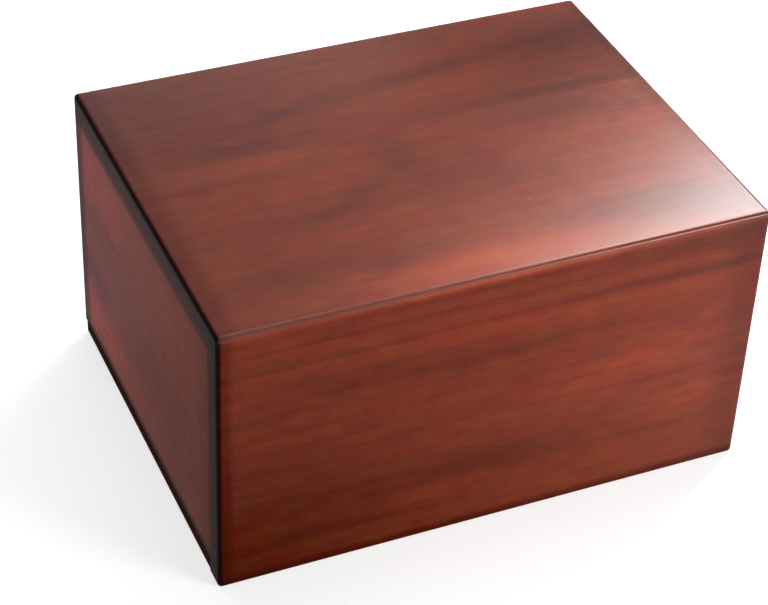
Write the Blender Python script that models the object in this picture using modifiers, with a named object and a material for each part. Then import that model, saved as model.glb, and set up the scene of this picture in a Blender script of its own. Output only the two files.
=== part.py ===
"""Wooden box urn: six panels round one empty chamber, closed from below by four screws.

The box stands on the floor plane with its origin under its middle. X runs along its length,
the front face looks towards -Y, and Z is up. All sizes are in metres.
"""

import math

import bpy
from mathutils import Vector

# Outer size of the box
LENGTH = 0.235
DEPTH = 0.178
HEIGHT = 0.127

# Thickness of the boards
TOP_THICKNESS = 0.012
FRONT_THICKNESS = 0.010
END_THICKNESS = 0.010
BACK_THICKNESS = 0.010
BOTTOM_THICKNESS = 0.006

# Rounding of the outer edges, and the joints between the boards
EDGE_RADIUS = 0.0025
BOTTOM_EASING = 0.0012
BOTTOM_SETBACK = 0.0006
JOINT_GAP = 0.0003

# Countersunk screws through the bottom panel into the end panels
SCREW_DIAMETER = 0.003
SCREW_LENGTH = 0.020
SCREW_TIP_LENGTH = 0.004
SCREW_HEAD_DIAMETER = 0.0056
SCREW_HEAD_RIM = 0.0003
SCREW_HEAD_SUNK = 0.0005
SCREW_CORNER_DISTANCE = 0.028
SCREW_CLEARANCE = 0.0003
PILOT_SPARE_DEPTH = 0.002
RECESS_SPAN = 0.0030
RECESS_SLOT = 0.0008
RECESS_DEPTH = 0.0012
RECESS_TAPER = 0.45

# How finely curves are cut into flats
EDGE_SEGMENTS = 6
ROUND_SIDES = 32

# How far a cutter reaches past the wood that it cuts
CUTTER_REACH = 0.010

# Planes that neighbouring panels share
RIGHT = LENGTH / 2
BACK = DEPTH / 2
WALL_TOP = HEIGHT - TOP_THICKNESS - JOINT_GAP
WALL_FOOT = BOTTOM_THICKNESS + JOINT_GAP
BEHIND_FRONT = -BACK + FRONT_THICKNESS + JOINT_GAP
BETWEEN_ENDS = RIGHT - END_THICKNESS - JOINT_GAP

# Heights along a screw, from its head upwards
SHANK_RADIUS = SCREW_DIAMETER / 2
HEAD_RADIUS = SCREW_HEAD_DIAMETER / 2
RIM_TOP = SCREW_HEAD_SUNK + SCREW_HEAD_RIM
HEAD_TOP = RIM_TOP + HEAD_RADIUS - SHANK_RADIUS
SCREW_TOP = SCREW_HEAD_SUNK + SCREW_LENGTH

# Stained colours of the boards and the steel of the screws
TOP_COLOUR = (0.200, 0.052, 0.034)
FRONT_COLOUR = (0.215, 0.050, 0.022)
END_COLOUR = (0.150, 0.044, 0.038)
BACK_COLOUR = (0.170, 0.045, 0.026)
BOTTOM_COLOUR = (0.090, 0.028, 0.018)
LACQUER_ROUGHNESS = 0.28
STEEL_COLOUR = (0.55, 0.52, 0.45)
STEEL_ROUGHNESS = 0.32


def clear_scene():
    """Remove every object, so that the model starts from nothing."""
    for obj in list(bpy.data.objects):
        bpy.data.objects.remove(obj, do_unlink=True)


def new_collection(name):
    collection = bpy.data.collections.new(name)
    bpy.context.scene.collection.children.link(collection)
    return collection


def file_under(obj, collection, name):
    """Name an object and keep it in one collection alone."""
    for other in list(obj.users_collection):
        other.objects.unlink(obj)
    collection.objects.link(obj)
    obj.name = name
    obj.data.name = name
    return obj


def as_cutter(obj):
    obj.hide_render = True
    obj.display_type = "WIRE"
    return obj


def add_block(name, low, high, collection):
    """Add a box between two corners, with its scale applied so that bevel widths stay true."""
    low, high = Vector(low), Vector(high)
    bpy.ops.mesh.primitive_cube_add(size=1, location=(low + high) / 2)
    block = bpy.context.object
    block.scale = high - low
    bpy.ops.object.transform_apply(location=False, rotation=False, scale=True)
    return file_under(block, collection, name)


def add_turned(name, profile, location, collection):
    """Turn a profile of (radius, height) points, listed from the top down, round the Z axis."""
    mesh = bpy.data.meshes.new(name)
    points = [(radius, 0, height) for radius, height in profile]
    mesh.from_pydata(points, [(i, i + 1) for i in range(len(points) - 1)], [])
    turned = bpy.data.objects.new(name, mesh)
    turned.location = location
    collection.objects.link(turned)
    screw = turned.modifiers.new("turned", "SCREW")
    screw.axis = "Z"
    screw.angle = math.tau
    screw.steps = screw.render_steps = ROUND_SIDES
    screw.use_merge_vertices = True
    screw.merge_threshold = 0.00001
    return turned


def round_edges(obj, radius):
    bevel = obj.modifiers.new("rounded edges", "BEVEL")
    bevel.width = radius
    bevel.segments = EDGE_SEGMENTS
    bevel.limit_method = "NONE"


def cut(obj, cutter, operation):
    boolean = obj.modifiers.new(cutter.name, "BOOLEAN")
    boolean.object = cutter
    boolean.operation = operation
    boolean.solver = "EXACT"


def paint(obj, colour, roughness, metallic):
    """Give the object its own Principled BSDF material."""
    material = bpy.data.materials.new(f"{obj.name}_finish")
    material.use_nodes = True
    shader = material.node_tree.nodes["Principled BSDF"]
    shader.inputs["Base Color"].default_value = (*colour, 1)
    shader.inputs["Roughness"].default_value = roughness
    shader.inputs["Metallic"].default_value = metallic
    obj.data.materials.append(material)


def make_panel(name, block_low, block_high, radius, region_low, region_high, colour):
    """Cut one panel out of a block with rounded edges.

    The block gives the panel its outer faces and their rounding, and the region gives it the
    flat sides that meet other panels. The region reaches past the block everywhere else.
    """
    panel = add_block(name, block_low, block_high, parts)
    round_edges(panel, radius)
    region = as_cutter(add_block(f"{name}_region", region_low, region_high, cutters))
    cut(panel, region, "INTERSECT")
    paint(panel, colour, LACQUER_ROUGHNESS, 0.0)
    panel.parent = origin
    return panel


def make_top_and_front():
    """The top covers all four walls, and the front stands on the floor under it."""
    low, high = (-RIGHT, -BACK, 0), (RIGHT, BACK, HEIGHT)
    past_right, past_back, past_top = RIGHT + CUTTER_REACH, BACK + CUTTER_REACH, HEIGHT + CUTTER_REACH
    make_panel("top_panel", low, high, EDGE_RADIUS,
               (-past_right, -past_back, HEIGHT - TOP_THICKNESS), (past_right, past_back, past_top),
               TOP_COLOUR)
    make_panel("front_panel", low, high, EDGE_RADIUS,
               (-past_right, -past_back, -CUTTER_REACH), (past_right, -BACK + FRONT_THICKNESS, WALL_TOP),
               FRONT_COLOUR)


def make_ends_and_back():
    """The ends reach the back face and hold the back between them, all above the bottom."""
    low, high = (-RIGHT, -BACK, WALL_FOOT), (RIGHT, BACK, HEIGHT)
    past_right, past_back = RIGHT + CUTTER_REACH, BACK + CUTTER_REACH
    ends = []
    for side, inner, outer in (("left", -RIGHT + END_THICKNESS, -past_right),
                               ("right", RIGHT - END_THICKNESS, past_right)):
        end = make_panel(f"end_panel_{side}", low, high, EDGE_RADIUS,
                         (min(inner, outer), BEHIND_FRONT, -CUTTER_REACH),
                         (max(inner, outer), past_back, WALL_TOP), END_COLOUR)
        ends.append(end)
    make_panel("back_panel", low, high, EDGE_RADIUS,
               (-BETWEEN_ENDS, BACK - BACK_THICKNESS, -CUTTER_REACH), (BETWEEN_ENDS, past_back, WALL_TOP),
               BACK_COLOUR)
    return ends


def make_bottom():
    """The bottom lies under the ends and the back, a little inside their outer faces."""
    side, back = RIGHT - BOTTOM_SETBACK, BACK - BOTTOM_SETBACK
    return make_panel("bottom_panel", (-side, -BACK, 0), (side, back, BOTTOM_THICKNESS), BOTTOM_EASING,
                      (-RIGHT - CUTTER_REACH, BEHIND_FRONT, -CUTTER_REACH),
                      (RIGHT + CUTTER_REACH, BACK + CUTTER_REACH, BOTTOM_THICKNESS + CUTTER_REACH),
                      BOTTOM_COLOUR)


def make_screw(name, place):
    """One countersunk screw, head down, with a cross recess."""
    profile = [(0, SCREW_TOP),
               (SHANK_RADIUS, SCREW_TOP - SCREW_TIP_LENGTH),
               (SHANK_RADIUS, HEAD_TOP),
               (HEAD_RADIUS, RIM_TOP),
               (HEAD_RADIUS, SCREW_HEAD_SUNK),
               (0, SCREW_HEAD_SUNK)]
    screw = add_turned(name, profile, place, parts)
    for number, (x_size, y_size) in enumerate(((RECESS_SPAN, RECESS_SLOT), (RECESS_SLOT, RECESS_SPAN)), 1):
        corner = Vector((x_size / 2, y_size / 2, RECESS_DEPTH))
        slot = add_block(f"{name}_slot_{number}", -corner, corner, cutters)
        slot.location = (place.x, place.y, SCREW_HEAD_SUNK)
        for vertex in slot.data.vertices:
            if vertex.co.z > 0:
                vertex.co.x *= RECESS_TAPER
                vertex.co.y *= RECESS_TAPER
        cut(screw, as_cutter(slot), "DIFFERENCE")
    paint(screw, STEEL_COLOUR, STEEL_ROUGHNESS, 1.0)
    screw.parent = origin


def make_screws(ends, bottom):
    """Two screws under each end panel, each with its countersunk hole and its pilot hole."""
    hole_radius = SHANK_RADIUS + SCREW_CLEARANCE
    sink_radius = HEAD_RADIUS + SCREW_CLEARANCE
    sink_profile = [(0, WALL_FOOT),
                    (hole_radius, WALL_FOOT),
                    (hole_radius, RIM_TOP + sink_radius - hole_radius),
                    (sink_radius, RIM_TOP),
                    (sink_radius, -CUTTER_REACH),
                    (0, -CUTTER_REACH)]
    pilot_profile = [(0, SCREW_TOP + PILOT_SPARE_DEPTH),
                     (hole_radius, SCREW_TOP + PILOT_SPARE_DEPTH),
                     (hole_radius, 0),
                     (0, 0)]
    front_row = BEHIND_FRONT + SCREW_CORNER_DISTANCE
    back_row = BACK - SCREW_CORNER_DISTANCE
    number = 0
    for end, x in zip(ends, (-RIGHT + END_THICKNESS / 2, RIGHT - END_THICKNESS / 2)):
        for y in (front_row, back_row):
            number += 1
            place = Vector((x, y, 0))
            sink = as_cutter(add_turned(f"countersink_{number}", sink_profile, place, cutters))
            cut(bottom, sink, "DIFFERENCE")
            pilot = as_cutter(add_turned(f"pilot_hole_{number}", pilot_profile, place, cutters))
            cut(end, pilot, "DIFFERENCE")
            make_screw(f"bottom_screw_{number}", place)


clear_scene()
parts = new_collection("wooden_cremation_urn")
cutters = new_collection("cutters")
origin = bpy.data.objects.new("urn_origin", None)
parts.objects.link(origin)

make_top_and_front()
end_panels = make_ends_and_back()
bottom_panel = make_bottom()
make_screws(end_panels, bottom_panel)
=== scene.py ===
# %% [markdown]
# # A wooden cremation urn
#
# The real object is a plain box of stained and lacquered boards. It stands on a white table under
# soft studio light. This lesson dresses the measured model of the box: it loads the frame, sets up
# the camera and the lights, models each board with its rounded edges, and then builds the wood.

import math

import bpy
from mathutils import Euler, Matrix, Vector


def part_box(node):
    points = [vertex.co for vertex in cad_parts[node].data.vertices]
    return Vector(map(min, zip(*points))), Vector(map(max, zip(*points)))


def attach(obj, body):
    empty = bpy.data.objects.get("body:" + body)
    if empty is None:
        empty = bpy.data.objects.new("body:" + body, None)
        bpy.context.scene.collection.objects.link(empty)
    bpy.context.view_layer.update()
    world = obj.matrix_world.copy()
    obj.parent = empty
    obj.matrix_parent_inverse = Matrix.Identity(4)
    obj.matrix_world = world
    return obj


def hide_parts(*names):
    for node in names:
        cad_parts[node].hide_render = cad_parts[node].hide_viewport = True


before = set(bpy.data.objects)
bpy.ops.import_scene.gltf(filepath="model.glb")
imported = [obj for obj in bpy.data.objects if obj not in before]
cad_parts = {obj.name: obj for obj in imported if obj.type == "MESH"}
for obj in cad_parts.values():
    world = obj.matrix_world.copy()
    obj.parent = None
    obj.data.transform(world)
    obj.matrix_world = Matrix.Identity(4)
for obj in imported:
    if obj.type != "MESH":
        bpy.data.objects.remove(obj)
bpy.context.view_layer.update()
print("the frame's nodes:", sorted(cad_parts))

# %% [markdown]
# ## The camera
#
# The camera stands in front of the urn, to its left and above it. Its place and its long lens come
# from the seven corners of the box in the picture, so every edge of the model lands on the
# edge of the real one. A small roll tips the picture a little, as a hand-held camera does.

# %% Place the camera
MM = 0.001
FRAME_WIDTH_PX = 768
FOCAL_LENGTH_PX = 2309.5
SENSOR_WIDTH_MM = 36.0
CAMERA_PLACE_MM = (-336.64, -712.06, 655.76)
CAMERA_TURN = math.radians(-24.644)
CAMERA_TILT = math.radians(37.662)
CAMERA_ROLL = math.radians(2.627)

camera_data = bpy.data.cameras.new("studio_camera")
camera_data.sensor_width = SENSOR_WIDTH_MM
camera_data.lens = FOCAL_LENGTH_PX * SENSOR_WIDTH_MM / FRAME_WIDTH_PX
camera = bpy.data.objects.new("studio_camera", camera_data)
bpy.context.scene.collection.objects.link(camera)
turned_down = Euler((math.pi / 2 - CAMERA_TILT, 0, CAMERA_TURN)).to_matrix()
camera.matrix_world = (Matrix.Translation(Vector(CAMERA_PLACE_MM) * MM)
                       @ (turned_down @ Matrix.Rotation(CAMERA_ROLL, 3, "Z")).to_4x4())
bpy.context.scene.camera = camera
bpy.context.scene.view_settings.view_transform = "Standard"
print("lens", round(camera_data.lens, 1), "mm")

# %% [markdown]
# ## The table
#
# The urn stands on a white table that fills the picture. A large plane does that job. It glows a
# little, as a table lit from below does, so that the shadow of the box stays as pale as in the
# picture.

# %% Lay the table
TABLE_HALF_SIZE = 6.0
TABLE_WHITE = 0.56
TABLE_ROUGHNESS = 0.9
TABLE_GLOW = 0.665

bpy.ops.object.select_all(action="DESELECT")
bpy.ops.mesh.primitive_plane_add(size=2 * TABLE_HALF_SIZE, location=(0, 0, 0))
table = bpy.context.object
table.name = "table"
table_paint = bpy.data.materials.new("table_white")
table_paint.use_nodes = True
table_shader = table_paint.node_tree.nodes["Principled BSDF"]
table_shader.inputs["Base Color"].default_value = (TABLE_WHITE, TABLE_WHITE, TABLE_WHITE, 1)
table_shader.inputs["Roughness"].default_value = TABLE_ROUGHNESS
table_shader.inputs["Emission Color"].default_value = (1, 1, 1, 1)
table_shader.inputs["Emission Strength"].default_value = TABLE_GLOW
table.data.materials.append(table_paint)
print("the table is", 2 * TABLE_HALF_SIZE, "m wide")

# %% [markdown]
# ## The light
#
# One softbox hangs behind the urn on the right. It draws the pale sheen over the near right corner
# of the top and throws the shadow to the left. Such a box is brightest in the middle, so two
# lights make it, a bright core and a wider rim, and its reflection fades out in steps that
# the lacquer blurs. A second one overhead lights the top evenly, and a weaker one at the front
# right lifts the front. A sheet of pale paper stands behind, and the lacquer reflects it, which
# makes the back of the top a little milky.

# %% Hang the lights
ROOM_LIGHT = 0.25

world = bpy.data.worlds.new("studio")
bpy.context.scene.world = world
world.use_nodes = True
world.node_tree.nodes["Background"].inputs["Color"].default_value = (1, 1, 1, 1)
world.node_tree.nodes["Background"].inputs["Strength"].default_value = ROOM_LIGHT


def soft_light(name, place, width, depth, power, aim=None, turn=0):
    """Hang a rectangular light at a place in metres. It faces straight down, or towards its aim."""
    data = bpy.data.lights.new(name, "AREA")
    data.shape = "RECTANGLE"
    data.size, data.size_y = width, depth
    data.energy = power
    light = bpy.data.objects.new(name, data)
    bpy.context.scene.collection.objects.link(light)
    light.location = place
    light.rotation_euler = (0, 0, math.radians(turn))
    if aim:
        light.rotation_euler = (Vector(place) - Vector(aim)).to_track_quat("Z", "Y").to_euler()


soft_light("softbox_core", (0.951, 0.738, 1.03), 0.95, 0.60, 15.8, turn=34)
soft_light("softbox_rim", (0.951, 0.738, 1.04), 1.15, 0.74, 8.0, turn=34)
soft_light("overhead_softbox", (0.05, 0.45, 1.35), 1.0, 0.9, 7.0)
soft_light("front_right_fill", (0.67, -0.90, 0.49), 0.45, 0.45, 8.5, aim=(0, 0, 0.06))
soft_light("back_paper", (0.31, 2.00, 1.00), 1.22, 1.00, 1.95, aim=(0.31, 0, 1.00))

# %% [markdown]
# ## The boards
#
# On the real box each board is planed flat, glued, and rounded along its outer edges. Here each
# one is a cube brought to the size of its solid in the frame. The bevel tool rounds the
# edges between two outer sides, and the sides that are glued stay sharp. Sandpaper on a flat block
# leaves an edge a little squarer than a quarter circle, so the bevel's profile is above 0.5.
# The frame keeps 0.3 mm between glued boards, and here they close up to a hairline. A side is
# called by its axis and sign, and the table of sides gives the axis and which of the two corners.

# %% A board with rounded outer edges
SEAM = 0.00005
JOINT_GAP = 0.0003
ROUND_SEGMENTS = 12
ROUND_PROFILE = 0.62
PLACE_TOLERANCE = 0.00002
SIDES = {"-x": (0, 0), "+x": (0, 1), "-y": (1, 0), "+y": (1, 1), "-z": (2, 0), "+z": (2, 1)}


def sides_of(point, corners):
    """The sides of the block between two corners that a point lies on."""
    return {side for side, (axis, end) in SIDES.items()
            if abs(point[axis] - corners[end][axis]) < PLACE_TOLERANCE}


def add_board(name, node, outer, glued, radius):
    """Model one board from its node: outer sides meet in rounded edges, and glued sides close up."""
    corners = [Vector(corner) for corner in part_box(node)]
    for side in glued:
        axis, end = SIDES[side]
        corners[end][axis] += (JOINT_GAP - SEAM) * (1 if end else -1)
    low, high = corners
    bpy.ops.object.select_all(action="DESELECT")
    bpy.ops.mesh.primitive_cube_add(size=1, location=(low + high) / 2)
    board = bpy.context.object
    board.name = board.data.name = name
    board.scale = high - low
    bpy.ops.object.transform_apply(location=True, rotation=True, scale=True)

    bpy.ops.object.mode_set(mode="EDIT")
    bpy.ops.mesh.select_mode(type="EDGE")
    bpy.ops.mesh.select_all(action="DESELECT")
    bpy.ops.object.mode_set(mode="OBJECT")
    for edge in board.data.edges:
        middle = sum((board.data.vertices[v].co for v in edge.vertices), Vector()) / 2
        edge.select = sides_of(middle, corners) <= set(outer)
    bpy.ops.object.mode_set(mode="EDIT")
    bpy.ops.mesh.bevel(offset=radius, segments=ROUND_SEGMENTS, profile=ROUND_PROFILE, affect="EDGES")
    bpy.ops.object.mode_set(mode="OBJECT")
    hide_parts(node)
    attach(board, "root")
    print(name, "is", [round(size / MM, 1) for size in high - low], "mm")
    return board, corners, set(outer), set(glued)


print("each edge is rounded in", ROUND_SEGMENTS, "steps")

# %% [markdown]
# ## The six boards
#
# The top covers all four walls, and the front stands on the table under it. The two ends reach
# to the back face and hold the back board between them. The bottom is a thinner board, a little
# smaller all round, so that a dark groove shows over it at the foot of each end.

# %% Model the six boards
EDGE_RADIUS = 0.0025
BOTTOM_EASING = 0.0012

boards = {
    "top": add_board("top_board", "top_panel",
                     ["-x", "+x", "-y", "+y", "+z"], [], EDGE_RADIUS),
    "front": add_board("front_board", "front_panel",
                       ["-x", "+x", "-y", "-z"], ["+z"], EDGE_RADIUS),
    "left": add_board("end_board_left", "end_panel_left",
                      ["-x", "+y", "-z"], ["-y", "+z"], EDGE_RADIUS),
    "right": add_board("end_board_right", "end_panel_right",
                       ["+x", "+y", "-z"], ["-y", "+z"], EDGE_RADIUS),
    "back": add_board("back_board", "back_panel",
                      ["+y", "-z"], ["-x", "+x", "+z"], EDGE_RADIUS),
    "bottom": add_board("bottom_board", "bottom_panel",
                        ["-x", "+x", "+y", "-z", "+z"], ["-y"], BOTTOM_EASING),
}

# %% [markdown]
# ## Turned shapes
#
# A screw is turned from wire, and a drill leaves a round hole. Both are drawn the same way here:
# a filled circle is extruded upwards ring by ring, and each ring is resized to its radius.

# %% Draw a round shape ring by ring
ROUND_SIDES = 64


def turned(name, place, rings):
    """Build a closed round solid. Rings are (radius, height) in mm from the lowest one up."""
    x, y = place
    radius, height = rings[0]
    bpy.ops.object.select_all(action="DESELECT")
    bpy.ops.mesh.primitive_circle_add(vertices=ROUND_SIDES, radius=radius * MM, fill_type="NGON",
                                      location=(x, y, height * MM))
    solid = bpy.context.object
    solid.name = solid.data.name = name
    bpy.ops.object.transform_apply(location=True, rotation=True, scale=True)
    bpy.ops.object.mode_set(mode="EDIT")
    bpy.ops.mesh.select_mode(type="FACE")
    bpy.ops.mesh.select_all(action="SELECT")
    for next_radius, next_height in rings[1:]:
        rise = (next_height - height) * MM
        bpy.ops.mesh.extrude_region_move(TRANSFORM_OT_translate={"value": (0, 0, rise)})
        widening = next_radius / radius
        bpy.ops.transform.resize(value=(widening, widening, 1), center_override=(x, y, 0))
        radius, height = next_radius, next_height
    bpy.ops.mesh.select_all(action="SELECT")
    bpy.ops.mesh.normals_make_consistent(inside=False)
    bpy.ops.object.mode_set(mode="OBJECT")
    return solid


def cut(piece, cutter):
    """Cut a shape out of a piece, and remove the cutter."""
    carve = piece.modifiers.new("cut", "BOOLEAN")
    carve.object, carve.operation, carve.solver = cutter, "DIFFERENCE", "EXACT"
    bpy.ops.object.select_all(action="DESELECT")
    bpy.context.view_layer.objects.active = piece
    piece.select_set(True)
    bpy.ops.object.modifier_apply(modifier=carve.name)
    bpy.data.objects.remove(cutter, do_unlink=True)


print("a round shape has", ROUND_SIDES, "sides")

# %% [markdown]
# ## The screw holes
#
# Such an urn is filled from below: four screws hold the bottom, two under each end board. Each
# screw has a countersunk hole in the bottom and a pilot hole in the end board above it. The places
# come from the screws in the frame, so hole and screw always share one axis. Each cutter starts
# a little outside its board, so that it cuts right through the face.

# %% Drill the bottom and the ends
HOLE_RADIUS_MM = 1.8
SINK_RADIUS_MM = 3.1
SINK_RIM_MM = 0.8
BELOW_BOTTOM_MM, ABOVE_BOTTOM_MM = -2, 8
PILOT_START_MM, PILOT_TOP_MM = 2, 22.5
SCREW_NODES = ["bottom_screw_1", "bottom_screw_2", "bottom_screw_3", "bottom_screw_4"]

screw_places = {}
for node in SCREW_NODES:
    low, high = (Vector(corner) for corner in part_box(node))
    x, y = (low + high).xy / 2
    screw_places[node] = (x, y)
    sink_top = SINK_RIM_MM + SINK_RADIUS_MM - HOLE_RADIUS_MM
    cut(boards["bottom"][0], turned("countersink", (x, y), [
        (SINK_RADIUS_MM, BELOW_BOTTOM_MM), (SINK_RADIUS_MM, SINK_RIM_MM),
        (HOLE_RADIUS_MM, sink_top), (HOLE_RADIUS_MM, ABOVE_BOTTOM_MM)]))
    cut(boards["left" if x < 0 else "right"][0], turned("pilot_hole", (x, y), [
        (HOLE_RADIUS_MM, PILOT_START_MM), (HOLE_RADIUS_MM, PILOT_TOP_MM)]))
print("screw holes at", [[round(value / MM, 1) for value in place] for place in screw_places.values()])

# %% [markdown]
# ## Smooth edges, flat faces
#
# A rounded edge shades smoothly, but the flat face beside it must stay flat. The weighted normal
# modifier gives the large faces the last word, so no shadow creeps over the boards.

# %% Shade the boards
SMOOTH_ANGLE = math.radians(30)


def shade(piece):
    """Smooth the rounded edges, and let the large flat faces decide the normals beside them."""
    bpy.ops.object.select_all(action="DESELECT")
    bpy.context.view_layer.objects.active = piece
    piece.select_set(True)
    bpy.ops.object.shade_smooth_by_angle(angle=SMOOTH_ANGLE)
    weigh = piece.modifiers.new("flat faces", "WEIGHTED_NORMAL")
    weigh.keep_sharp = True
    bpy.ops.object.modifier_apply(modifier=weigh.name)


for board, *_ in boards.values():
    shade(board)
    print(board.name, "has", len(board.data.polygons), "faces")

# %% [markdown]
# ## The screws
#
# A countersunk wood screw has a flat head, a cone under it, a plain neck, a thread and a
# point. The body is drawn ring by ring from the head up, because the screws stand on their heads.
# Two tapered bars cut the cross recess. The thread is a small triangle that the screw modifier
# carries up round the body.

# %% Model one screw round the origin
HEAD_MM, NECK_MM, CORE_MM, POINT_MM = 2.8, 1.5, 1.08, 0.05
HEAD_FACE_MM, HEAD_RIM_MM, NECK_START_MM, NECK_END_MM = 0.5, 0.8, 2.1, 5.9
CORE_START_MM, CORE_END_MM, TIP_MM = 6.3, 16.5, 20.5
RECESS_LONG_MM, RECESS_WIDE_MM, RECESS_DEEP_MM = 3.0, 0.8, 1.2
RECESS_TAPER = 0.45


def recess_bar(length, width):
    """A bar that narrows upwards, to cut one slot of the cross into the head."""
    bpy.ops.object.select_all(action="DESELECT")
    bpy.ops.mesh.primitive_cube_add(size=1, location=(0, 0, HEAD_FACE_MM * MM))
    bar = bpy.context.object
    bar.scale = (length * MM, width * MM, 2 * RECESS_DEEP_MM * MM)
    bpy.ops.object.transform_apply(location=True, rotation=True, scale=True)
    bpy.ops.object.mode_set(mode="EDIT")
    bpy.ops.mesh.select_mode(type="VERT")
    bpy.ops.mesh.select_all(action="DESELECT")
    bpy.ops.object.mode_set(mode="OBJECT")
    for vertex in bar.data.vertices:
        vertex.select = vertex.co.z > HEAD_FACE_MM * MM
    bpy.ops.object.mode_set(mode="EDIT")
    bpy.ops.transform.resize(value=(RECESS_TAPER, RECESS_TAPER, 1), center_override=(0, 0, 0))
    bpy.ops.object.mode_set(mode="OBJECT")
    return bar


screw = turned("screw", (0, 0), [
    (HEAD_MM, HEAD_FACE_MM), (HEAD_MM, HEAD_RIM_MM),
    (NECK_MM, NECK_START_MM), (NECK_MM, NECK_END_MM),
    (CORE_MM, CORE_START_MM), (CORE_MM, CORE_END_MM), (POINT_MM, TIP_MM)])
cut(screw, recess_bar(RECESS_LONG_MM, RECESS_WIDE_MM))
cut(screw, recess_bar(RECESS_WIDE_MM, RECESS_LONG_MM))
print("the screw body has", len(screw.data.polygons), "faces")

# %% [markdown]
# ## The thread
#
# The triangle stands upright beside the body with its point outwards, and its foot reaches a
# little into the core. It is a circle of three sides, which is one and a half radii high. Eight
# turns make the thread. Both ends of it are filled, so it is closed.

# %% Wind the thread and join it to the screw
CREST_MM, RIDGE_SUNK_MM = 1.5, 0.06
TRIANGLE_HEIGHT = 1.5
THREAD_START_MM, THREAD_PITCH_MM, THREAD_TURNS = 6.4, 1.3, 8
THREAD_STEPS = 48

ridge_radius = (CREST_MM - CORE_MM + RIDGE_SUNK_MM) / TRIANGLE_HEIGHT
bpy.ops.object.select_all(action="DESELECT")
bpy.ops.mesh.primitive_circle_add(vertices=3, radius=ridge_radius * MM, location=(0, 0, 0))
thread = bpy.context.object
bpy.ops.object.mode_set(mode="EDIT")
bpy.ops.mesh.select_all(action="SELECT")
bpy.ops.transform.rotate(value=math.pi / 2, orient_axis="Z", center_override=(0, 0, 0))
bpy.ops.transform.rotate(value=math.pi / 2, orient_axis="X", center_override=(0, 0, 0))
bpy.ops.object.mode_set(mode="OBJECT")
thread.location = ((CREST_MM - ridge_radius) * MM, 0, THREAD_START_MM * MM)
bpy.ops.object.transform_apply(location=True, rotation=True, scale=True)
wind = thread.modifiers.new("thread", "SCREW")
wind.axis, wind.angle = "Z", math.tau
wind.steps = wind.render_steps = THREAD_STEPS
wind.screw_offset, wind.iterations = THREAD_PITCH_MM * MM, THREAD_TURNS
bpy.ops.object.modifier_apply(modifier=wind.name)
bpy.ops.object.mode_set(mode="EDIT")
bpy.ops.mesh.select_all(action="SELECT")
bpy.ops.mesh.fill_holes(sides=3)
bpy.ops.mesh.select_all(action="SELECT")
bpy.ops.mesh.normals_make_consistent(inside=False)
bpy.ops.object.mode_set(mode="OBJECT")
bpy.ops.object.select_all(action="DESELECT")
thread.select_set(True)
screw.select_set(True)
bpy.context.view_layer.objects.active = screw
bpy.ops.object.join()
bpy.ops.object.shade_smooth_by_angle(angle=SMOOTH_ANGLE)
print("the finished screw has", len(screw.data.polygons), "faces")

# %% [markdown]
# ## Four screws
#
# The screw is modelled once and copied. Each copy gets its own mesh, goes to its hole and is
# turned by its own angle, because no two screws stop at the same one.

# %% Set the four screws
SCREW_TURNS_DEG = (20, 67, 41, 5)

screws = []
for node, turn in zip(SCREW_NODES, SCREW_TURNS_DEG):
    copy = bpy.data.objects.new(node.replace("bottom_", "base_"), screw.data.copy())
    bpy.context.scene.collection.objects.link(copy)
    copy.location = (*screw_places[node], 0)
    copy.rotation_euler = (0, 0, math.radians(turn))
    bpy.ops.object.select_all(action="DESELECT")
    bpy.context.view_layer.objects.active = copy
    copy.select_set(True)
    bpy.ops.object.transform_apply(location=True, rotation=True, scale=True)
    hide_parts(node)
    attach(copy, "root")
    screws.append(copy)
bpy.data.objects.remove(screw, do_unlink=True)
print("screws:", [piece.name for piece in screws])

# %% [markdown]
# ## How the wood is built
#
# Real stained wood has many layers: growth rings, fine fibres, pores and stain that soaked in
# unevenly. All of them go into one number, the tone, from 0 for nearly black to 1 for bright
# orange-brown. A colour ramp turns the tone into colour at the very end. The texture is solid: it
# fills the board in all three directions, so the faces, the edges and the ends belong together.
# Every noise has a seed, which moves it to another place, so that no two layers look alike.

# %% Helpers that build a material node by node
SEED_STEPS = (7.31, 3.17, 5.73)
NOISE_ROUGHNESS = 0.5


def add(tree, kind, *inputs, out=0, **settings):
    """Add a node, fill its inputs in order with values or links, and return one output."""
    made = tree.nodes.new(kind)
    for name, value in settings.items():
        setattr(made, name, value)
    for socket, value in zip(made.inputs, inputs):
        if isinstance(value, bpy.types.NodeSocket):
            tree.links.new(value, socket)
        elif value is not None:
            socket.default_value = value
    return made.outputs[out]


def calc(tree, operation, *values):
    """Calculate with numbers or links in a Math node."""
    return add(tree, "ShaderNodeMath", *values, operation=operation)


def fade(tree, value, start, end, amount=1.0):
    """Rise softly from 0 at start to the amount at end, whichever of the two is larger."""
    if start <= end:
        return add(tree, "ShaderNodeMapRange", value, start, end, 0.0, amount,
                   interpolation_type="SMOOTHSTEP")
    return add(tree, "ShaderNodeMapRange", value, end, start, amount, 0.0,
               interpolation_type="SMOOTHSTEP")


def grain_noise(tree, point, size, detail, seed):
    """Noise whose lumps have a size in mm along, across and through the board, around zero."""
    placed = add(tree, "ShaderNodeMapping", point, [seed * step for step in SEED_STEPS], None,
                 [1 / length for length in size])
    noise = add(tree, "ShaderNodeTexNoise", placed, None, 1.0, detail, NOISE_ROUGHNESS)
    return calc(tree, "SUBTRACT", noise, 0.5)


print("each seed moves the noise by", SEED_STEPS)

# %% [markdown]
# ## A streak
#
# Noise alone never puts a dark streak where the real board has one. A streak is a soft ellipse of
# darker or lighter stain at a chosen place. It is built once as a node group, and every face can
# use it many times.

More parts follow.
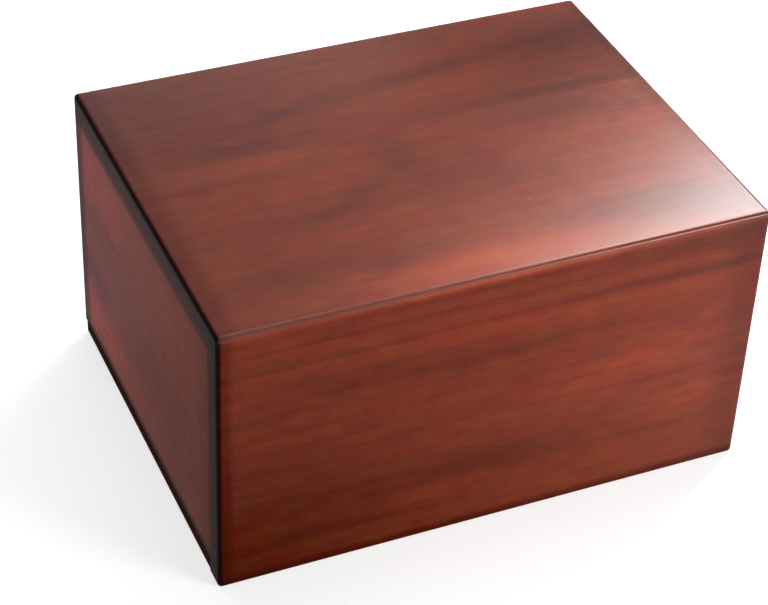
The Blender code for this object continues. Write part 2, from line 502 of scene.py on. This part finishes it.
# %% Build the streak group
def make_streak_group():
    """A bell of tone round a place. Place holds the slant too, and Size the strength."""
    tree = bpy.data.node_groups.new("soft_streak", "ShaderNodeTree")
    for name, kind in (("Tone", "NodeSocketFloat"), ("Point", "NodeSocketVector"),
                       ("Place", "NodeSocketVector"), ("Size", "NodeSocketVector")):
        tree.interface.new_socket(name, in_out="INPUT", socket_type=kind)
    tree.interface.new_socket("Tone", in_out="OUTPUT", socket_type="NodeSocketFloat")
    tone, point, place, size = tree.nodes.new("NodeGroupInput").outputs[:4]

    def parts_of(vector):
        return add(tree, "ShaderNodeSeparateXYZ", vector).node.outputs

    offset = parts_of(add(tree, "ShaderNodeVectorMath", point, place, operation="SUBTRACT"))
    slant, sizes = parts_of(place)[2], parts_of(size)
    sunk = calc(tree, "MULTIPLY", offset[0], slant)
    along = calc(tree, "DIVIDE", offset[0], sizes[0])
    across = calc(tree, "DIVIDE", calc(tree, "SUBTRACT", offset[1], sunk), sizes[1])
    reach = calc(tree, "ADD", calc(tree, "MULTIPLY", along, along),
                 calc(tree, "MULTIPLY", across, across))
    bell = calc(tree, "EXPONENT", calc(tree, "MULTIPLY", reach, -1.0))
    streaked = calc(tree, "MULTIPLY_ADD", bell, sizes[2], tone)
    tree.links.new(streaked, tree.nodes.new("NodeGroupOutput").inputs[0])
    return tree


STREAK_GROUP = make_streak_group()


def streak(tree, tone, point, along, across, half_length, half_width, slant, strength):
    """Add one streak to a tone. Places and lengths are in mm, and the slant is a slope."""
    return add(tree, "ShaderNodeGroup", tone, point, (along, across, slant),
               (half_length, half_width, strength), node_tree=STREAK_GROUP)


print("the streak group has", len(STREAK_GROUP.nodes), "nodes")

# %% [markdown]
# ## Board coordinates
#
# Each face is measured in millimetres, as a joiner would with a ruler: along it from the left,
# across it from the top, and into the wood. The numbers come from the Object coordinates through a
# Mapping node, so the figure runs on through the wood and over the edges. Each view is how the
# box is turned for it in degrees, the scale from metres to mm, and the shift to the corner.

# %% The views of the box
BOARD_VIEWS = {"top": ((0, 0, 0), (1000, -1000, 1000), (117.5, 89, -127)),
               "front": ((90, 0, 0), (1000, 1000, 1000), (117.5, 127, 89)),
               "back": ((90, 180, 0), (1000, 1000, 1000), (117.5, 127, 89)),
               "left": ((90, -90, 0), (1000, 1000, 1000), (89, 127, 117.5)),
               "right": ((90, 90, 0), (1000, 1000, 1000), (89, 127, 117.5)),
               "bottom": ((0, 0, 0), (1000, 1000, 1000), (117.5, 89, 0))}


def board_point(tree, view):
    """The place on a board in mm: along from the left, across from the top, and into the wood."""
    turn, scale, shift = BOARD_VIEWS[view]
    place = add(tree, "ShaderNodeTexCoord", out=3)
    return add(tree, "ShaderNodeMapping", place, shift, [math.radians(a) for a in turn], scale)


print("views:", ", ".join(BOARD_VIEWS))

# %% [markdown]
# ## The stain
#
# The stain is a red mahogany. Where it lies thick it goes to a warm black, and where the wood
# shows through it glows orange. Seven stops of a colour ramp hold that whole scale.

# %% The colours of the stain
STAIN_STOPS = [(0.000, (0.0040, 0.0012, 0.0010)), (0.250, (0.0128, 0.0016, 0.0012)),
               (0.500, (0.0410, 0.0042, 0.0022)), (0.627, (0.0740, 0.0075, 0.0028)),
               (0.750, (0.1310, 0.0240, 0.0115)), (0.840, (0.2000, 0.0390, 0.0210)),
               (1.000, (0.4200, 0.0900, 0.0500))]
BARE_STOPS = [(0.50, (0.20, 0.105, 0.050)), (0.75, (0.42, 0.26, 0.145)), (0.90, (0.58, 0.40, 0.24))]


def tone_ramp(tree, tone, stops):
    """Turn a tone into a colour. Stops are (tone, colour), from dark to light."""
    colour = add(tree, "ShaderNodeValToRGB", tone)
    elements = colour.node.color_ramp.elements
    while len(elements) < len(stops):
        elements.new(0.5)
    for element, (position, shade_colour) in zip(elements, stops):
        element.position, element.color = position, (*shade_colour, 1)
    return colour


print("the stain has", len(STAIN_STOPS), "stops")

# %% [markdown]
# ## The grain
#
# The rings are circles round the pith of the tree, which lies somewhere outside the board. Where
# the board cuts them, they show as long lines on its faces and as arcs on its ends. Softer layers
# follow: cloudy patches of stain, long bands, fine fibres and short dark pores. Each
# noise is stretched along the grain, so on the ends it shows as dots. A noise is the size of its
# lumps in mm (along, across and through the board) and its detail. Each layer has a strength,
# which says how far it may change the tone. Late wood is the dark outer part of a ring. It comes
# up slowly and ends at once, and it shows only in some patches.

# %% Wood grain, layer by layer
RING_WIDTH_MM, RING_BEND_MM = 7.0, 16.0
LATE_WOOD_RISE, LATE_WOOD_FALL = (0.35, 0.90), (1.0, 0.92)
BEND_NOISE, PATCH_NOISE = ((240, 60, 60), 2.0), ((120, 25, 25), 1.0)
BLOTCH_NOISE, BAND_NOISE = ((13, 7, 9), 4.0), ((60, 3.2, 6), 3.0)
FIBRE_NOISE, PORE_NOISE = ((12, 0.8, 1.0), 3.0), ((4.0, 0.35, 0.35), 1.0)
PATCH_FROM_TO, PORE_FROM_TO = (-0.12, 0.20), (0.12, 0.24)
RING_STRENGTH, BLOTCH_STRENGTH, BAND_STRENGTH = -0.025, 0.09, 0.055
FIBRE_STRENGTH, PORE_STRENGTH = 0.065, -0.055
FIBRE_HEIGHT = 0.3


def wood_figure(tree, point, pith, seed):
    """Rings, bands, fibres and pores as one number around zero, and the height of the grain."""
    bend = grain_noise(tree, point, *BEND_NOISE, seed)
    _, across, through = add(tree, "ShaderNodeSeparateXYZ", point).node.outputs
    wandered = calc(tree, "MULTIPLY_ADD", bend, RING_BEND_MM, across)
    spoke = add(tree, "ShaderNodeCombineXYZ", 0.0, calc(tree, "SUBTRACT", wandered, pith[0]),
                calc(tree, "SUBTRACT", through, pith[1]))
    radius = add(tree, "ShaderNodeVectorMath", spoke, operation="LENGTH", out=1)
    ring = calc(tree, "FRACT", calc(tree, "DIVIDE", radius, RING_WIDTH_MM))
    late_wood = calc(tree, "MULTIPLY", fade(tree, ring, *LATE_WOOD_RISE),
                     fade(tree, ring, *LATE_WOOD_FALL))
    patch = fade(tree, grain_noise(tree, point, *PATCH_NOISE, seed + 2), *PATCH_FROM_TO)
    figure = calc(tree, "MULTIPLY", calc(tree, "MULTIPLY", late_wood, patch), RING_STRENGTH)

    blotch = grain_noise(tree, point, *BLOTCH_NOISE, seed + 4)
    figure = calc(tree, "MULTIPLY_ADD", blotch, BLOTCH_STRENGTH, figure)
    band = grain_noise(tree, point, *BAND_NOISE, seed + 6)
    figure = calc(tree, "MULTIPLY_ADD", band, BAND_STRENGTH, figure)
    fibre = grain_noise(tree, point, *FIBRE_NOISE, seed + 8)
    figure = calc(tree, "MULTIPLY_ADD", fibre, FIBRE_STRENGTH, figure)
    pore = fade(tree, grain_noise(tree, point, *PORE_NOISE, seed + 10), *PORE_FROM_TO)
    figure = calc(tree, "MULTIPLY_ADD", pore, PORE_STRENGTH, figure)
    height = calc(tree, "SUBTRACT", calc(tree, "MULTIPLY", fibre, FIBRE_HEIGHT), pore)
    return figure, height


print("the rings are", RING_WIDTH_MM, "mm wide")

# %% [markdown]
# ## A finish
#
# A finish takes the grain from the board and the streaks and shading from the face. That way the
# end of a board shows end grain, while the dark band runs over several boards. The lacquer fills
# the pores nearly level: the bump is faint, and the roughness changes a little with the grain.
# Very broad streaks belong to the slow tone, and the others to the fine figure.

# %% Build one finish
BROAD_STREAK_MM = 25
FIGURE_SHARES = (1.2, 0.8, 0.35)
BROWN_NOISE, BROWN_STRENGTH = ((16, 7, 9), 2.0), 0.12
GLUE_LINE_HALF_MM = 0.15
HEIGHT_ROUGHNESS = -0.06
BUMP_DISTANCE = 0.00005


def stave_tones(tree, point, face_point, tone, pith, seed, streaks):
    """The slow tone of one stave, its fine figure, its brown clouds and the height of its grain."""
    figure, height = wood_figure(tree, point, pith, seed)
    brown = grain_noise(tree, point, *BROWN_NOISE, seed + 12)
    cloud = calc(tree, "MULTIPLY", brown, BROWN_STRENGTH)
    for values in streaks:
        if values[3] > BROAD_STREAK_MM:
            tone = streak(tree, tone, face_point, *values)
        else:
            figure = streak(tree, figure, face_point, *values)
    return tone, figure, cloud, height


def stained_colour(tree, tone, figure, cloud, stops):
    """Red follows the figure most, green less and blue hardly, so dark streaks look cooler.

    Green follows the clouds too, so that the stain turns browner in some places than in others.
    """
    channels = []
    for channel, share in enumerate(FIGURE_SHARES):
        level = calc(tree, "MULTIPLY_ADD", figure, share, tone)
        if channel == 1:
            level = calc(tree, "ADD", level, cloud)
        colour = tone_ramp(tree, level, stops)
        channels.append(add(tree, "ShaderNodeSeparateColor", colour, out=channel))
    return add(tree, "ShaderNodeCombineColor", *channels)


def make_wood(name, board_view, face_view, staves, shades, finish,
              stops=STAIN_STOPS, painted_sheen_and_tint=(), wear=()):
    """Build a material with grain from the board and with streaks and shades from the face.

    Each stave is (its first mm across the board, tone, pith, seed, streaks). Shades change the tone,
    the painted sheen and tint adds a veil of colour, and wear adds to the roughness, each from start
    to end.
    """
    roughness, gloss, relief = finish
    material = bpy.data.materials.new(name)
    material.use_nodes = True
    tree = material.node_tree
    shader = tree.nodes["Principled BSDF"]
    point, face_point = board_point(tree, board_view), board_point(tree, face_view)
    board_place = add(tree, "ShaderNodeSeparateXYZ", point).node.outputs
    face_place = add(tree, "ShaderNodeSeparateXYZ", face_point).node.outputs
    mixed = None
    for first_mm, *values in staves:
        layers = stave_tones(tree, point, face_point, *values)
        if mixed:
            side = fade(tree, board_place[1], first_mm - GLUE_LINE_HALF_MM,
                        first_mm + GLUE_LINE_HALF_MM)
            layers = [add(tree, "ShaderNodeMix", side, None, old, new)
                      for old, new in zip(mixed, layers)]
        mixed = layers
    tone, figure, cloud, height = mixed
    for axis, start, end, amount in shades:
        shade_here = fade(tree, face_place[axis], start, end, amount)
        tone = calc(tree, "ADD", shade_here, tone)
    colour = stained_colour(tree, tone, figure, cloud, stops)
    # Painted sheen: a pale veil of reflection added to the colour; near the foot of the front a little
    # blue is taken away instead.
    for axis, start, end, tint in painted_sheen_and_tint:
        amount = fade(tree, face_place[axis], start, end)
        painted_veil = add(tree, "ShaderNodeVectorMath", tint, None, None, amount, operation="SCALE")
        colour = add(tree, "ShaderNodeVectorMath", colour, painted_veil, operation="ADD")
    tree.links.new(colour, shader.inputs["Base Color"])
    dullness = calc(tree, "MULTIPLY_ADD", height, HEIGHT_ROUGHNESS, roughness)
    for axis, start, end, amount in wear:
        dullness = calc(tree, "ADD", dullness, fade(tree, face_place[axis], start, end, amount))
    tree.links.new(dullness, shader.inputs["Roughness"])
    shader.inputs["Specular IOR Level"].default_value = gloss
    bump = add(tree, "ShaderNodeBump", relief, BUMP_DISTANCE, None, height)
    tree.links.new(bump, shader.inputs["Normal"])
    return material


print("blue takes", FIGURE_SHARES[2], "of the figure")

# %% [markdown]
# ## The figure of the top
#
# The top is glued from two staves, and the glue line runs the whole length. Each streak is a soft
# ellipse: its place along and across the board, half its length and width, its slant, and how much it
# lightens or darkens the stain. The numbers of the streaks and shades were set with the picture,
# renders and an earlier fit to the picture in view.

# %% Streaks of the top
TOP_BACK_STREAKS = [
    (20, 30, 60, 40, 0, -0.05), (205, 40, 65, 32, 0, -0.14), (70, 47, 34, 5, -0.25, -0.04),
    (150, 34, 60, 4, -0.15, -0.06), (50, 64, 26, 5, 0, -0.05), (190, 66, 60, 5, 0, -0.09),
    (160, 8, 50, 8, 0, -0.05), (220, 25, 30, 16, 0, -0.08), (160, 45, 30, 7, -0.1, 0.04)]
TOP_FRONT_STREAKS = [
    (50, 75, 34, 5, 0, 0.05), (110, 86, 9, 16, 0, -0.05), (84, 110, 25, 5, -0.5, -0.04),
    (45, 122, 28, 4, -0.1, -0.03), (78, 119, 28, 3, 0, -0.03), (84, 157, 14, 6, 0, -0.04),
    (70, 164, 10, 2, 0, -0.03), (35, 152, 30, 8, -0.05, -0.04), (190, 78, 45, 14, 0, -0.08),
    (140, 110, 40, 20, 0, -0.04), (200, 160, 50, 12, 0, -0.06), (130, 168, 60, 10, 0, 0.12),
    (230, 165, 35, 25, 0, -0.06), (60, 95, 40, 14, 0, 0.03)]
print("the top has", len(TOP_BACK_STREAKS) + len(TOP_FRONT_STREAKS), "streaks")

# %% [markdown]
# ## The figure of the front and the left end
#
# The front has long fibres, a lighter line under its upper edge and dark streaks at the right.
# Its lower left is the darkest part, partly darker stain and partly painted shade. The left end is
# calmer, with two slow dark bands.

# %% Streaks of the front and the left end
# The first streak, broad and dark at the lower left, is partly darker stain and partly painted shade.
FRONT_STREAKS = [
    (5, 115, 80, 50, 0, -0.12), (225, 75, 100, 30, 0, 0.02), (117, 5, 150, 1.5, 0, -0.03),
    (90, 2, 100, 2, 0, 0.09), (110, 21, 90, 1, 0, -0.02), (205, 8, 40, 3, 0, -0.08),
    (195, 21, 55, 3, 0, -0.08), (55, 35, 30, 5, 0, -0.04), (120, 39, 45, 6, 0, -0.04),
    (15, 44, 24, 2, 0, -0.03), (139, 44, 16, 1.5, 0, 0.02), (14, 71, 20, 1.5, 0, -0.04),
    (192, 72, 32, 1.5, 0, -0.02), (122, 94, 45, 7, 0, -0.07), (195, 100, 36, 2, 0, -0.04),
    (42, 90, 40, 6, 0, -0.04), (60, 109, 70, 3, 0, -0.03), (184, 60, 24, 7, 0, 0.04),
    (204, 86, 20, 7, 0, 0.03), (154, 67, 20, 6, 0, 0.03), (95, 105, 18, 6, 0, 0.04),
    (155, 24, 70, 6, 0, 0.04), (117, 11.5, 400, 0.7, 0, -0.02)]
LEFT_STREAKS = [
    (120, 88, 80, 20, 0, -0.02), (38, 28, 48, 18, 0, 0.05), (44, 46, 40, 3, -0.1, -0.04),
    (22, 80, 22, 8, 0, -0.08), (38, 105, 55, 12, 0, 0.06), (135, 32, 44, 24, 0, 0.03),
    (95, 68, 55, 3, 0, -0.03), (24, 55, 34, 7, 0, -0.04)]
RIGHT_STREAKS = [
    (60, 40.0, 70, 6.0, 0.04, -0.050), (130, 75.0, 60, 5.0, -0.05, -0.045),
    (90, 100.0, 50, 8.0, 0.02, 0.035)]
BACK_STREAKS = [
    (70, 45.0, 80, 5.0, 0.03, -0.045), (170, 70.0, 60, 7.0, -0.04, -0.050),
    (120, 98.0, 90, 6.0, 0.02, 0.035), (40, 88.0, 50, 3.0, 0.05, -0.035)]
print("the front has", len(FRONT_STREAKS), "streaks and the left end has", len(LEFT_STREAKS))

# %% [markdown]
# ## Darker edges
#
# Stain gathers along edges and soaks deep into end grain, so every face darkens towards its edges, and
# the ends of the top and of the front board are almost black. The narrowest shades, over the last mm
# of a rounded edge, are darker stain and painted shade of the rounding, and the shades at the foot of
# the walls are painted shade of the groove and of the edge on the table, over a darker stain. Each
# shade is an axis, where it starts, where it is complete, and its amount. On the top, the front and
# the left end the first ones are slow changes over the whole face, and on the front they are partly
# painted light, brighter to the right where the fill light falls and darker lower down. A veil of
# colour is added in places: on the front towards the right, on the left rounding of the top and
# towards the back of the left end it is a painted sheen, a pale reflection of the room and the table,
# and near the foot of the front it takes a little blue away. Wear makes the lacquer duller, as on the
# front edge, which shines at the right and hardly at the left.

# %% Shades along the edges
ALONG, ACROSS = 0, 1
# The shades over the last mm of each rounded edge are darker stain and painted shade of the rounding.
# The shades at the foot of the walls are painted shade over a darker stain. On the front the first two
# are partly painted light.
TOP_SHADES = [(ALONG, -40, 275, 0.16), (ACROSS, -20, 198, 0.08),
              (ALONG, 14, 4, -0.085), (ALONG, 1.9, 0.1, -0.60), (ALONG, 226, 231, -0.05)]
FRONT_SHADES = [(ALONG, -40, 275, 0.06), (ACROSS, -20, 147, -0.02),
                (ALONG, 7.5, 3.5, -0.085), (ALONG, 2.2, 0.8, -0.40), (ALONG, 212, 230, -0.07),
                (ACROSS, 120.5, 125, -0.15)]
LEFT_SHADES = [(ALONG, -40, 218, -0.10), (ACROSS, -20, 147, 0.02),
               (ACROSS, 14.5, 5.5, -0.31), (ACROSS, 4, 1, -0.37), (ALONG, 150, 167, -0.06),
               (ALONG, 165, 176, -0.45), (ALONG, 13, 5, -0.25), (ACROSS, 113.8, 119.5, -0.65)]
RIGHT_SHADES = [(ACROSS, 14.5, 5.5, -0.31), (ACROSS, 4, 1, -0.37), (ALONG, 13, 2, -0.45),
                (ALONG, 165, 173, -0.25), (ACROSS, 113.8, 119.5, -0.65)]
BACK_SHADES = [(ALONG, 12, 6, -0.25), (ALONG, 223, 229, -0.25), (ALONG, 2.2, 0.8, -0.30),
               (ALONG, 232.8, 234.2, -0.30), (ACROSS, 7, 1, -0.10), (ACROSS, 116, 119.5, -0.30)]
# Painted sheen on the front, pale and strongest towards the right edge, and a little blue taken away
# near the foot.
FRONT_PAINTED_SHEEN_AND_TINT = [(ALONG, 100, 225, (0.008, 0.008, 0.008)), (ALONG, 195, 232, (0.0, 0.004, 0.006)),
              (ACROSS, 75, 112, (0.0, -0.001, -0.003))]
# The front edge of the top is darker towards the left, a painted shade where less light falls.
EDGE_SHADES = FRONT_SHADES + [(ALONG, 150, 20, -0.07)]
EDGE_WEAR = [(ALONG, 190, 40, 0.40)]
# Painted sheen on the left rounding of the top, growing from the very edge towards the flat top.
RIM_PAINTED_SHEEN = [(ALONG, 0.3, 1.6, (0.0, 0.008, 0.012))]
# Painted reflection of the table on the left end, bluish and strongest towards the back.
LEFT_PAINTED_REFLECTION = [(ALONG, 150, 10, (0.005, 0.003, 0.016))]
print("the left end has", len(LEFT_SHADES), "shades")

# %% [markdown]
# ## All the finishes
#
# The top is polished and mirrors the softbox, and its rounded front edge a little less. The walls are
# rubbed down to a satin that mirrors almost nothing. At the foot the lacquer is dull and the colour
# holds a painted shade over a darker stain, so the groove there stays dark although the white table is
# right beside it. Inside and in the holes the wood is bare, and the glued sides are dark, as a tight
# joint is. A finish is its roughness, its gloss and how strongly the pores stand out. A timber is
# where the pith of its tree lies, in mm across and through the board, and the seed of its noise.

# %% Make the finishes
POLISHED = (0.16, 0.5, 0.12)
RUBBED = (0.45, 0.015, 0.12)
DULL = (0.70, 0.006, 0.20)
EASED = (0.17, 0.34, 0.12)
BARE = (0.75, 0.25, 0.35)

TOP_GLUE_LINE_MM = 70
TOP_BACK_TIMBER, TOP_FRONT_TIMBER = ((220, 60), 3), ((10, 70), 8)
FRONT_TIMBER, BACK_TIMBER = ((-90, 70), 14), ((190, 60), 41)
LEFT_TIMBER, RIGHT_TIMBER = ((-60, 90), 29), ((190, 80), 35)
BOTTOM_TIMBER, INNER_TIMBER = ((60, 50), 53), ((90, 60), 61)


def stave(tone, timber, streaks=(), start=0):
    """One stave: its first mm across the board, its tone, its timber and its streaks."""
    return start, tone, *timber, streaks


top_staves = [stave(0.740, TOP_BACK_TIMBER, TOP_BACK_STREAKS),
              stave(0.727, TOP_FRONT_TIMBER, TOP_FRONT_STREAKS, TOP_GLUE_LINE_MM)]
top_end_staves = [stave(0.775, TOP_BACK_TIMBER), stave(0.775, TOP_FRONT_TIMBER, (), TOP_GLUE_LINE_MM)]
top_back_staves = [stave(0.78, TOP_BACK_TIMBER)]
front_staves = [stave(0.782, FRONT_TIMBER, FRONT_STREAKS)]
front_end_staves = [stave(0.775, FRONT_TIMBER)]
left_staves = [stave(0.845, LEFT_TIMBER, LEFT_STREAKS)]
left_back_staves = [stave(0.78, LEFT_TIMBER)]
right_staves = [stave(0.77, RIGHT_TIMBER, RIGHT_STREAKS)]
right_back_staves = [stave(0.78, RIGHT_TIMBER)]
back_staves = [stave(0.78, BACK_TIMBER, BACK_STREAKS)]
bottom_staves = [stave(0.47, BOTTOM_TIMBER)]
bare_staves = [stave(0.74, INNER_TIMBER)]
joint_staves = [stave(0.40, INNER_TIMBER)]

woods = {
    ("top", "up"): make_wood("top_wood", "top", "top", top_staves, TOP_SHADES, POLISHED),
    ("top", "edge"): make_wood("top_front_edge_wood", "front", "front", front_staves, EDGE_SHADES,
                               EASED, wear=EDGE_WEAR),
    ("top", "rim"): make_wood("top_rim_wood", "top", "top", top_staves, TOP_SHADES, RUBBED,
                              painted_sheen_and_tint=RIM_PAINTED_SHEEN),
    ("top", "front"): make_wood("top_edge_wood", "front", "front", front_staves, FRONT_SHADES,
                                RUBBED, painted_sheen_and_tint=FRONT_PAINTED_SHEEN_AND_TINT),
    ("top", "left"): make_wood("top_left_end_grain", "top", "left", top_end_staves, LEFT_SHADES,
                               RUBBED),
    ("top", "right"): make_wood("top_right_end_grain", "top", "right", top_end_staves,
                                RIGHT_SHADES, RUBBED),
    ("top", "back"): make_wood("top_back_edge_wood", "top", "back", top_back_staves, BACK_SHADES,
                               RUBBED),
    ("front", "front"): make_wood("front_wood", "front", "front", front_staves, FRONT_SHADES,
                                  RUBBED, painted_sheen_and_tint=FRONT_PAINTED_SHEEN_AND_TINT),
    ("front", "left"): make_wood("front_left_end_grain", "front", "left", front_end_staves,
                                 LEFT_SHADES, RUBBED),
    ("front", "right"): make_wood("front_right_end_grain", "front", "right", front_end_staves,
                                  RIGHT_SHADES, RUBBED),
    ("left", "left"): make_wood("left_end_wood", "left", "left", left_staves, LEFT_SHADES, RUBBED,
                                painted_sheen_and_tint=LEFT_PAINTED_REFLECTION),
    ("left", "foot"): make_wood("left_foot_wood", "left", "left", left_staves, LEFT_SHADES, DULL),
    ("left", "back"): make_wood("left_back_end_grain", "left", "back", left_back_staves,
                                BACK_SHADES, RUBBED),
    ("right", "right"): make_wood("right_end_wood", "right", "right", right_staves, RIGHT_SHADES,
                                  RUBBED),
    ("right", "foot"): make_wood("right_foot_wood", "right", "right", right_staves, RIGHT_SHADES,
                                 DULL),
    ("right", "back"): make_wood("right_back_end_grain", "right", "back", right_back_staves,
                                 BACK_SHADES, RUBBED),
    ("back", "back"): make_wood("back_wood", "back", "back", back_staves, BACK_SHADES, RUBBED),
    ("back", "foot"): make_wood("back_foot_wood", "back", "back", back_staves, BACK_SHADES, DULL),
    ("bottom", "down"): make_wood("bottom_wood", "bottom", "bottom", bottom_staves, [], DULL),
}
for place, (_, _, _, glued) in boards.items():
    woods[(place, "bare")] = make_wood(f"{place}_bare_wood", place, place, bare_staves, [], BARE,
                                       BARE_STOPS)
    if glued:
        woods[(place, "joint")] = make_wood(f"{place}_joint_wood", place, place, joint_staves, [],
                                            DULL)
print("finishes:", len(woods))

# %% [markdown]
# ## Dress the boards
#
# Every face of a board gets the finish of the side that it looks to, and its normal says which one
# that is. A face on an inner side stays bare, and so do the walls of the holes. On the top,
# rounded faces that look up enough are polished like the flat one, and those along its front and
# left edges have finishes of their own. Rounded faces that look down belong to the foot.

# %% Give each face its finish
FLAT, LEVEL, RIM = 0.98, 0.35, 0.02
DRILLED_REACH = 3.3 * MM


def side_of(face, place, corners, outer, glued):
    """Name the side that a face looks to: joint where it is glued, bare where it has no lacquer."""
    normal, middle = face.normal, face.center
    inner = sides_of(middle, corners) - outer
    if inner:
        return "joint" if inner & glued else "bare"
    for x, y in screw_places.values():
        if math.hypot(middle.x - x, middle.y - y) < DRILLED_REACH and abs(normal.z) < FLAT:
            return "bare"
    if place == "bottom":
        return "bare" if normal.z > FLAT else "down"
    if place == "top" and normal.z > RIM and normal.y < -max(RIM, abs(normal.x)):
        return "edge"
    if place == "top" and normal.z > LEVEL:
        return "rim" if normal.x < -RIM else "up"
    if abs(normal.z) > FLAT and place in ("left", "right", "back"):
        return "bare"
    if normal.z < -RIM and (place, "foot") in woods:
        return "foot"
    if abs(normal.x) > abs(normal.y) and (place, "left" if normal.x < 0 else "right") in woods:
        return "left" if normal.x < 0 else "right"
    wanted = "front" if normal.y < 0 else "back"
    return wanted if (place, wanted) in woods else place


for place, (board, corners, outer, glued) in boards.items():
    slots = {}
    for face in board.data.polygons:
        side = side_of(face, place, corners, outer, glued)
        if side not in slots:
            slots[side] = len(slots)
            board.data.materials.append(woods[(place, side)])
        face.material_index = slots[side]
    print(board.name, "shows", sorted(slots))

# %% [markdown]
# ## Steel
#
# The screws are steel with a pale yellow zinc plating. Turning leaves fine rings on the head, so a
# wave that runs round each screw's own axis changes the roughness and the bump. At scale 1 the
# wave node repeats every tau / 20 of a metre, which gives the scale for rings of a chosen width.
# The plating is a little uneven, so a noise mixes two tints of it.

# %% Finish the screws
TURNING_STEP_MM, WAVE_STEP = 0.25, math.tau / 20
WAVE_BEND, WAVE_DETAIL = 0.6, 2.0
CLOUDS_PER_METRE, CLOUD_DETAIL = 900.0, 3.0
ZINC_DARK, ZINC_LIGHT = (0.60, 0.54, 0.40, 1), (0.72, 0.67, 0.54, 1)
STEEL_ROUGHNESS, RING_ROUGHNESS = 0.24, 0.14
RING_RELIEF, RING_DEPTH = 0.15, 0.00002

for piece, (x, y) in zip(screws, screw_places.values()):
    steel = bpy.data.materials.new(f"{piece.name}_steel")
    steel.use_nodes = True
    tree = steel.node_tree
    shader = tree.nodes["Principled BSDF"]
    place = add(tree, "ShaderNodeMapping", add(tree, "ShaderNodeTexCoord", out=3), (-x, -y, 0))
    marks = add(tree, "ShaderNodeTexWave", place, WAVE_STEP / (TURNING_STEP_MM * MM), WAVE_BEND,
                WAVE_DETAIL, out=1, wave_type="RINGS", rings_direction="Z")
    cloud = add(tree, "ShaderNodeTexNoise", place, None, CLOUDS_PER_METRE, CLOUD_DETAIL)
    tint = add(tree, "ShaderNodeMix", cloud, None, None, None, None, None, ZINC_DARK, ZINC_LIGHT,
               out=2, data_type="RGBA")
    tree.links.new(tint, shader.inputs["Base Color"])
    roughness = calc(tree, "MULTIPLY_ADD", marks, RING_ROUGHNESS, STEEL_ROUGHNESS)
    tree.links.new(roughness, shader.inputs["Roughness"])
    bump = add(tree, "ShaderNodeBump", RING_RELIEF, RING_DEPTH, None, marks)
    tree.links.new(bump, shader.inputs["Normal"])
    shader.inputs["Metallic"].default_value = 1.0
    piece.data.materials.clear()
    piece.data.materials.append(steel)
print("steel on", len(screws), "screws")
